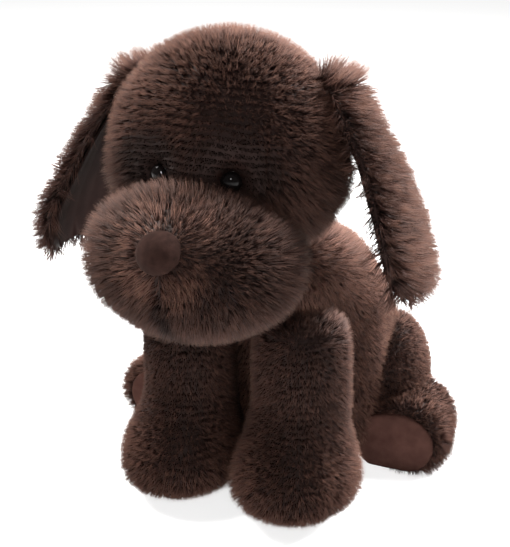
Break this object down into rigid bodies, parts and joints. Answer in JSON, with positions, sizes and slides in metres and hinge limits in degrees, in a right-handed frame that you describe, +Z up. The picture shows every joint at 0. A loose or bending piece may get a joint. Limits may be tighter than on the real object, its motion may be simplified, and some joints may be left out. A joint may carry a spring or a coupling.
{
  "type": "plush dog",
  "caption": "Seated long-pile plush dog with a big ball muzzle, long hanging ears with velour linings, velour soles, a velour nose and glossy bead eyes.",
  "frame": {"origin": "on the surface that the toy sits on, under the middle of its outline", "axes": "the dog faces -Y, +Z is up, and +X is the dog's own left"},
  "size_m": [0.1842, 0.2333, 0.2355],
  "materials": {
    "pile": "long dark brown pile on a knitted backing",
    "muzzle_pile": "long brown pile, brushed outwards from the nose",
    "velour": "short reddish-brown velour",
    "stuffing": "white polyester fibre",
    "pellets": "cloth bag of plastic pellets",
    "eye_plastic": "polished black",
    "washer_plastic": "natural moulded",
    "thread": "twisted thread"
  },
  "bodies": {
    "torso": {"torso_belly": "pile", "torso_side_left": "pile", "torso_side_right": "pile", "torso_base": "pile", "pellet_bag": "pellets", "torso_filling": "stuffing", "closing_stitch": "thread"},
    "neck": {"neck_filling": "stuffing"},
    "head": {"head_crown": "pile", "head_cheek_left": "pile", "head_cheek_right": "pile", "head_filling": "stuffing", "muzzle_cover": "muzzle_pile", "muzzle_filling": "stuffing", "nose_cover": "velour", "nose_filling": "stuffing", "eye_left": "eye_plastic", "eye_right": "eye_plastic", "eye_washer_left": "washer_plastic", "eye_washer_right": "washer_plastic"},
    "ear_left": {"ear_outer_left": "pile", "ear_lining_left": "velour"},
    "ear_right": {"ear_outer_right": "pile", "ear_lining_right": "velour"},
    "front_leg_left": {"front_leg_cover_left": "pile", "front_leg_filling_left": "stuffing", "front_sole_left": "velour"},
    "front_leg_right": {"front_leg_cover_right": "pile", "front_leg_filling_right": "stuffing", "front_sole_right": "velour"},
    "hind_leg_left": {"hind_leg_cover_left": "pile", "hind_leg_filling_left": "stuffing", "hind_sole_left": "velour"},
    "hind_leg_right": {"hind_leg_cover_right": "pile", "hind_leg_filling_right": "stuffing", "hind_sole_right": "velour"},
    "tail": {"tail_cover": "pile", "tail_filling": "stuffing"}
  },
  "joints": [
    {"name": "head_turn", "type": "hinge", "parent": "torso", "child": "neck", "pos_m": [0, -0.0272, 0.1363], "axis": [0, 0, 1], "range_deg": [-28, 28], "stiffness_Nm_per_rad": 3},
    {"name": "head_nod", "type": "hinge", "parent": "neck", "child": "head", "pos_m": [0, -0.0272, 0.152], "axis": [1, 0, 0], "range_deg": [-12, 7], "stiffness_Nm_per_rad": 10},
    {"name": "ear_left_lift", "type": "hinge", "parent": "head", "child": "ear_left", "pos_m": [0.0386, -0.0322, 0.2212], "axis": [0, -1, 0], "range_deg": [0, 100]},
    {"name": "ear_right_lift", "type": "hinge", "parent": "head", "child": "ear_right", "pos_m": [-0.0386, -0.0322, 0.2212], "axis": [0, 1, 0], "range_deg": [0, 100]},
    {"name": "shoulder_left", "type": "hinge", "parent": "torso", "child": "front_leg_left", "pos_m": [0.029, -0.0302, 0.092], "axis": [-1, 0, 0], "range_deg": [-5, 60], "stiffness_Nm_per_rad": 2},
    {"name": "shoulder_right", "type": "hinge", "parent": "torso", "child": "front_leg_right", "pos_m": [-0.029, -0.0302, 0.092], "axis": [-1, 0, 0], "range_deg": [-5, 60], "stiffness_Nm_per_rad": 2},
    {"name": "hip_left", "type": "hinge", "parent": "torso", "child": "hind_leg_left", "pos_m": [0.0548, 0.0533, 0.0385], "axis": [-1, 0, 0], "range_deg": [-5, 60], "stiffness_Nm_per_rad": 2},
    {"name": "hip_right", "type": "hinge", "parent": "torso", "child": "hind_leg_right", "pos_m": [-0.0548, 0.0533, 0.0385], "axis": [-1, 0, 0], "range_deg": [-5, 60], "stiffness_Nm_per_rad": 2},
    {"name": "tail_wag", "type": "hinge", "parent": "torso", "child": "tail", "pos_m": [0, 0.0933, 0.034], "axis": [0, 0, 1], "range_deg": [-28, 28], "stiffness_Nm_per_rad": 0.2}
  ]
}
